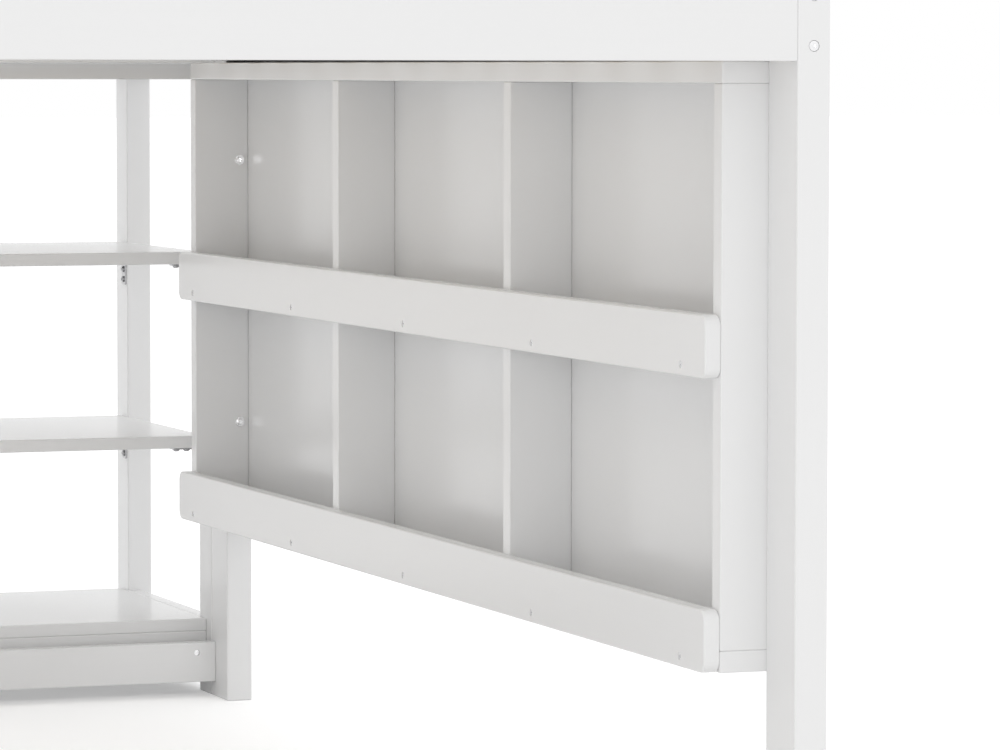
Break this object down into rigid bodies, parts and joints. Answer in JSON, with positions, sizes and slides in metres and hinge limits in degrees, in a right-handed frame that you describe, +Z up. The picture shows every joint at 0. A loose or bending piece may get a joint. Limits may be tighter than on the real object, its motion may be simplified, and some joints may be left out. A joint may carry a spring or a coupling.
{
  "type": "loft bed",
  "caption": "Low white loft bed with guard boards, a fixed side ladder, a book display case with lips under one side and an open shelf unit at its foot.",
  "frame": {"origin": "middle of the footprint, on the floor", "axes": "+Z up, +Y along the bed to the shelf unit's end, +X across it to the book case's side"},
  "size_m": [1.135, 2.46, 1.24],
  "materials": {
    "white_board": "satin white paint",
    "pine_slat": "planed bare pine",
    "beech_dowel": "bare",
    "zinc_steel": "zinc plated"
  },
  "bodies": {
    "root": {"bookcase_back": "white_board", "bookcase_bottom": "white_board", "bookcase_far_end": "white_board", "bookcase_lower_far_divider": "white_board", "bookcase_lower_near_divider": "white_board", "bookcase_near_end": "white_board", "bookcase_shelf": "white_board", "bookcase_top": "white_board", "bookcase_upper_far_divider": "white_board", "bookcase_upper_near_divider": "white_board", "bracket_screws": "zinc_steel", "case_bolts": "zinc_steel", "case_screws": "zinc_steel", "cross_nuts": "zinc_steel", "deck_screws": "zinc_steel", "dowels": "beech_dowel", "far_end_rail": "white_board", "far_middle_board": "white_board", "far_stretcher": "white_board", "far_top_board": "white_board", "guard_post": "white_board", "ladder_far_stile": "white_board", "ladder_lower_tread": "white_board", "ladder_middle_tread": "white_board", "ladder_near_stile": "white_board", "ladder_upper_tread": "white_board", "left_middle_guard": "white_board", "left_side_rail": "white_board", "left_slat_ledger": "white_board", "left_top_guard": "white_board", "lip_and_back_screws": "zinc_steel", "long_bolts": "zinc_steel", "lower_book_lip": "white_board", "mattress_slats": "pine_slat", "near_end_rail": "white_board", "near_middle_board": "white_board", "near_stretcher": "white_board", "near_top_board": "white_board", "post_far_left": "white_board", "post_far_right": "white_board", "post_near_left": "white_board", "post_near_right": "white_board", "right_middle_guard": "white_board", "right_side_rail": "white_board", "right_slat_ledger": "white_board", "right_top_guard": "white_board", "shelf_brackets": "zinc_steel", "short_bolts": "zinc_steel", "unit_bottom_shelf": "white_board", "unit_kick_board": "white_board", "unit_left_apron": "white_board", "unit_middle_shelf": "white_board", "unit_post_far_left": "white_board", "unit_post_far_right": "white_board", "unit_post_near_left": "white_board", "unit_post_near_right": "white_board", "unit_right_apron": "white_board", "unit_top": "white_board", "unit_upper_shelf": "white_board", "upper_book_lip": "white_board"}
  },
  "joints": []
}
